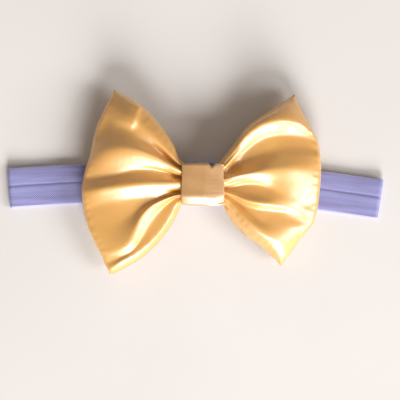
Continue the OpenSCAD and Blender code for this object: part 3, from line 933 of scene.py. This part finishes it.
def make_seam(name, front):
    """Machine stitches inside the seam, along the upper, outer and lower edges."""
    rows, columns, _ = front.shape
    under = front - grid_normals(front) * (CLOTH_T + 0.3)
    path = np.concatenate([
        under[rows // 4:rows - SEAM_INSET, SEAM_INSET],
        under[rows - 1 - SEAM_INSET, SEAM_INSET:columns - SEAM_INSET],
        under[rows - SEAM_INSET:rows // 4:-1, columns - 1 - SEAM_INSET],
    ])
    length = running_length(path)
    stitches = []
    for start in np.arange(0, length[-1] - STITCH_PITCH, STITCH_PITCH):
        at = np.linspace(start, start + STITCH_PITCH - STITCH_GAP, 5)
        stitches.append(points_at(at, length, path))
    return threads(name, stitches, SEAM_THREAD, materials["gold_thread"])


# ---- the waist and the wrap ----
BOW_Y = KNOT[1] - 0.4  # middle of the waist and of the wrap's section
WRAP_HALF_Y = WRAP_SIZE[1] / 2 - 0.4
WRAP_T = 0.75
WRAP_AROUND, WRAP_ACROSS = 220, 64  # points round the waist and across the strip
WRAP_RADII = (2.5, 0, 0.9, 2.5)  # its corners; the shelf takes the place of the second
SHELF_TILT, SHELF_LENGTH = math.radians(31), 2.2  # the flat on its upper corner toward -Y
SHELF_LOW_RADIUS, SHELF_HIGH_RADIUS = 1.5, 3.4
CREASE_X, NOTCH_X, HAIRS_X, WAVE_X = 0.1, 3.6, 4.9, 4.0  # from the strip's middle
NOTCH_WIDTH, NOTCH_DEPTH = 1.5, 1.5
WAIST_AROUND, WAIST_ACROSS = 120, 30
WAIST_HALF = 6.1  # half the length of the waist, between the ends of the wings
WAIST_NECK = 0.76  # how far the thread draws it in
# Each half: up or down, half width, reach from the middle, and how square its section is.
WAIST_HALVES = {
    "front": (1, WRAP_SIZE[1] / 2 - 1.6, WRAP_SIZE[2] / 2 - 1.8, 0.45),
    "back": (-1, WRAP_SIZE[1] / 2 - 1.15, WRAP_SIZE[2] / 2 - 0.85, 0.28),
}
COIL_TURNS, COIL_PITCH, COIL_STEPS = 4, 0.6, 60
WAIST_THREAD = 0.28  # radius


def bevel(half_w, half_h, tilt, low_radius, high_radius, length):
    """The upper left corner of a rectangle as a tilted flat of some length between two arcs."""
    low = arc(0, 0, low_radius, math.pi, math.pi / 2 + tilt, 12)
    high = arc(0, 0, high_radius, math.pi / 2 + tilt, math.pi / 2, 10)
    high += low[-1] + length * np.array([math.cos(tilt), math.sin(tilt)]) - high[0]
    return np.concatenate([low, high]) + (-half_w - low[0, 0], half_h - high[-1, 1])


def box_outline(half_w, half_h, radii, count, upper_left=None):
    """Points round a rectangle with round corners, spread evenly, starting under the middle.

    radii are those of the lower left, upper left, upper right and lower right corners.
    upper_left holds points that take the place of that corner's arc.
    """
    places = ((-1, -1, 1.5), (-1, 1, 1.0), (1, 1, 0.5), (1, -1, 0.0))
    foot = [(0.0, -half_h)]
    corners = []
    for (side_w, side_h, turn), radius in zip(places, radii):
        w, h = side_w * (half_w - radius), side_h * (half_h - radius)
        corners.append(arc(w, h, radius, turn * math.pi, (turn - 0.5) * math.pi, 14))
    if upper_left is not None:
        corners[1] = upper_left
    points = np.concatenate([foot, *corners, foot])
    length = running_length(points)
    at = np.linspace(0, length[-1], count, endpoint=False)
    return points_at(at, length, points), at, length[-1]


def wrap_outline():
    """Section of the wrap as (y, z) points, their outward directions and the lengths along it."""
    half_z = WRAP_SIZE[2] / 2
    shelf = bevel(WRAP_HALF_Y, half_z, SHELF_TILT, SHELF_LOW_RADIUS, SHELF_HIGH_RADIUS, SHELF_LENGTH)
    ring, at, total = box_outline(WRAP_HALF_Y, half_z, WRAP_RADII, WRAP_AROUND, shelf)
    tangent = np.roll(ring, -1, axis=0) - np.roll(ring, 1, axis=0)
    outward = unit(join(-tangent[:, 1], tangent[:, 0]))
    outward *= np.sign((outward * ring).sum(axis=1, keepdims=True))
    return ring, outward, at, total


def wrap_relief(y, out_y, out_z, at, x, w):
    """How far the strip stands out from its section."""
    face = smoothstep((out_z - 0.2) / 0.6)
    toward = smoothstep((-out_y - 0.2) / 0.6)
    above = smoothstep((out_z + 0.8) / 0.7)
    swell = 0.22 * (1 - w**2) - 0.24 * np.abs(w) ** 5 + 0.05 * np.sin(at * 0.8 + 2 * w)
    fold = x - CREASE_X - 0.06 * y
    crease = -(0.050 + 0.065 * np.tanh(fold / 1.5)) * (np.sqrt(fold**2 + 1.0) - 1.0)
    hairs = 0.014 * uneven(y, 5.0, 2, 1.3) * np.exp(-((x - HAIRS_X) / 1.8) ** 2)
    wavy = 0.30 * np.exp(-((x - WAVE_X) / 3.0) ** 2)
    return swell * above + (crease + hairs) * face + wavy * toward


def wrap_notch(y, z, x):
    """How far the small V in the edge toward +Y cuts in."""
    notch = NOTCH_DEPTH * np.maximum(1 - np.sqrt((x - NOTCH_X) ** 2 + 0.04) / NOTCH_WIDTH, 0)
    return notch * smoothstep((y - 3) / (WRAP_HALF_Y - 3)) * smoothstep((z + 5.2) / 1.5)


def make_wrap():
    """The folded strip round the waist: soft long corners, turned side edges and a crease down the face."""
    ring, outward, at, total = wrap_outline()
    y, z, out_y, out_z = ring[:, :1], ring[:, 1:], outward[:, :1], outward[:, 1:]
    w = np.linspace(-1, 1, WRAP_ACROSS)[None, :]
    x = w * (WRAP_SIZE[0] / 2 - 0.2)
    relief = wrap_relief(y, out_y, out_z, at[:, None], x, w)
    stray = 0.18 * np.sin(at * 0.35 + 0.6)[:, None] * w
    outer = join(
        KNOT[0] + 0.2 + x + stray,
        BOW_Y + y + out_y * relief - wrap_notch(y, z, x),
        KNOT[2] + z + out_z * relief,
    )
    inner = outer.copy()
    inner[..., 1] -= out_y * WRAP_T
    inner[..., 2] -= out_z * WRAP_T
    inner[..., 0] = KNOT[0] + (inner[..., 0] - KNOT[0]) * 0.985
    band = np.concatenate([outer, inner[:, ::-1]], axis=1).transpose(1, 0, 2)
    uvs = flat_uv(at[None, :], np.concatenate([x, x[:, ::-1]], axis=1).T)
    count = WRAP_AROUND * 2 * WRAP_ACROSS
    closed = grid_faces(2 * WRAP_ACROSS + 1, WRAP_AROUND, wrap=True)
    faces = [tuple(k % count for k in face) for face in closed]
    wrap = link_mesh("centre_wrap_satin", band, faces, materials["satin_wrap_painted_shade"], uvs)
    face_outward(wrap)
    attach(wrap, "bow_centre", "satin", "centre_wrap")


def squared(wave, power):
    """A sine or cosine pushed towards the sides of a square, keeping its sign."""
    return np.sign(wave) * np.abs(wave) ** power


def make_waist_half(name, half, half_y, reach, power):
    """One pleated half of the gathered waist, closed by a flat near the middle of the wrap."""
    angle = np.linspace(0.04, math.pi - 0.04, WAIST_AROUND) * half
    pleat = 0.97 + 0.025 * np.sin(angle * 13 + 0.7 * half) + 0.012 * np.sin(angle * 29)
    x = np.linspace(-1, 1, WAIST_ACROSS)
    neck = 1 - (1 - WAIST_NECK) * np.exp(-(x / 0.9) ** 8)
    y = squared(np.cos(angle), power) * half_y * pleat
    z = squared(np.sin(angle), power) * reach * pleat
    around_middle = join(x * WAIST_HALF, y[:, None] * neck, z[:, None] * neck + half * 0.1)
    grid = around_middle + (KNOT[0], BOW_Y, KNOT[2])
    closing = grid.copy()
    closing[..., 2] = KNOT[2] + half * 0.05
    faces = shell_faces(WAIST_AROUND, WAIST_ACROSS)
    material = materials["satin" if half > 0 else "satin_back"]
    waist = link_mesh(f"{name}_waist_gathers", [grid, closing], faces, material, cloth_uv(grid))
    face_outward(waist)
    attach(waist, "bow_centre", "satin", f"{name}_panel_waist")


def make_waist():
    """Both halves of the gathered waist inside the wrap, and the thread wound round them."""
    for name, shape in WAIST_HALVES.items():
        make_waist_half(name, *shape)
    a = np.linspace(0, 2 * math.pi * COIL_TURNS, COIL_TURNS * COIL_STEPS)
    _, half_y, top, _ = WAIST_HALVES["front"]
    _, _, low, power = WAIST_HALVES["back"]
    half_z = np.where(np.sin(a) > 0, top, low)
    coil = join(
        KNOT[0] + (a / (2 * math.pi) - COIL_TURNS / 2) * COIL_PITCH,
        BOW_Y + squared(np.cos(a), power) * (half_y * WAIST_NECK + 0.6),
        KNOT[2] + squared(np.sin(a), power) * (half_z * WAIST_NECK + 0.45),
    )
    thread = threads("waist_thread", [coil], WAIST_THREAD, materials["gold_thread"], sides=8)
    attach(thread, "bow_centre", "gold_thread", "gathering_thread")


# ---- back of the bow ----
DAB_SIDES, DAB_RINGS = 40, 7
FELT_RADII = (3, 3, 3, 3)
FELT_AROUND, FELT_RINGS, FELT_CUT = 160, 9, 0.22
ZIGZAG_CORNERS, ZIGZAG_SWING = 17, 0.6
SLIP_COUNT, SLIP_PITCH, SLIP_HALF = 5, 2.2, 0.75
ZIGZAG_THREAD, SLIP_THREAD = 0.14, 0.13  # radii


def make_glue(name, node, centres, radius, seed):
    """Flat rounded dabs with wavy edges, as high as the CAD node."""
    low, high = (corner[2] for corner in node_box(node))
    a = np.linspace(0, 2 * math.pi, DAB_SIDES, endpoint=False)[None, :]
    t = np.linspace(0, 1, DAB_RINGS)[:, None]
    dabs = []
    for n, (x, y) in enumerate(centres):
        wobble = 1 + 0.07 * np.sin(3 * a + seed + n) + 0.05 * np.sin(5 * a + 2 * seed)
        r = radius * wobble * (0.88 + 0.12 * np.sin(math.pi * t))
        dabs.append(join(x + r * np.cos(a), y + r * np.sin(a), low + (high - low) * t))
    attach(ring_stacks(name, dabs, materials["glue"]), "bow_centre", "glue", node)


def make_felt():
    """Felt pad with soft cut edges."""
    low, high = node_box("felt_pad")
    centre, half = (low + high) / 2, (high - low) / 2
    outline, _, _ = box_outline(half[0], half[1], FELT_RADII, FELT_AROUND)
    a = np.arange(FELT_AROUND)[None, :]
    k = np.arange(FELT_RINGS)[:, None]
    t = np.linspace(-1, 1, FELT_RINGS)[:, None]
    fray = 0.05 * np.sin(a * 2.3 + k) + 0.04 * np.sin(a * 5.1 + 2 * k)
    scale = 1 - (FELT_CUT * t**4 + fray) / np.linalg.norm(outline, axis=1)
    rings = centre + join(outline[:, 0] * scale, outline[:, 1] * scale, t * half[2])
    pad = ring_stacks("felt_backing", [rings], materials["felt"])
    face_outward(pad)
    attach(pad, "bow_centre", "felt", "felt_pad")


def make_zigzag():
    """Two zigzag rows that join the lapped ends of the elastic."""
    low, high = node_box("lap_stitches")
    corner = np.arange(ZIGZAG_CORNERS)
    fine = np.linspace(0, ZIGZAG_CORNERS - 1, 97)
    rows = []
    for x in (low[0] + ZIGZAG_SWING, high[0] - ZIGZAG_SWING):
        swing = np.where(corner % 2 == 0, -ZIGZAG_SWING, ZIGZAG_SWING)
        y = np.linspace(low[1], high[1], ZIGZAG_CORNERS)
        rows.append(points_at(fine, corner, join(x + swing, y, (low[2] + high[2]) / 2)))
    zigzag = threads("lap_zigzag", rows, ZIGZAG_THREAD, materials["white_thread"])
    attach(zigzag, "bow_centre", "white_thread", "lap_stitches")


def make_slip_stitches():
    """Slanting stitches that close the wrap at the back."""
    low, high = node_box("wrap_closing_stitches")
    at = np.linspace(-SLIP_HALF, SLIP_HALF, 7)
    z = (low[2] + high[2]) / 2 - 0.05 + 0.12 * (at / SLIP_HALF) ** 2
    places = KNOT[0] + (np.arange(SLIP_COUNT) - SLIP_COUNT // 2) * SLIP_PITCH
    slips = [join(x + at, KNOT[1] + 0.35 * at, z) for x in places]
    slip = threads("wrap_slip_stitches", slips, SLIP_THREAD, materials["gold_thread"])
    attach(slip, "bow_centre", "gold_thread", "wrap_closing_stitches")


materials = {
    "satin": satin_material("satin_gold", BOW_GOLD, 0.35),
    # the wrap's satin is the bow's gold with painted shade
    "satin_wrap_painted_shade": satin_material("satin_wrap_painted_shade", WRAP_SHADED_GOLD, 0.35),
    "satin_back": satin_material("satin_back", BACK_GOLD, 0.30),
    "gold_thread": thread_material("gold_thread", GOLD_THREAD),
    "white_thread": thread_material("white_thread", WHITE_THREAD),
    "felt": felt_material(),
    "wadding": wadding_material(),
    "glue": glue_material(),
}

make_camera()
make_floor()
make_lights()
make_elastic(elastic_material())
make_felt()
make_glue("glue_under_knot", "bow_glue", [(KNOT[0], KNOT[1] + y) for y in (-4.2, 4.2)], radius=2.6, seed=1)
make_glue("glue_on_felt", "felt_glue", [(KNOT[0] + x, MIDDLE_Y) for x in (-5, 5)], radius=3.4, seed=2)
make_zigzag()
make_slip_stitches()
make_waist()
make_wrap()
make_wing("left", LEFT_FOLDS, LEFT_SMALL_FOLDS, rim_lift=1.2, lip=0.0)
make_wing("right", RIGHT_FOLDS, RIGHT_SMALL_FOLDS, rim_lift=0.5, lip=2.0)
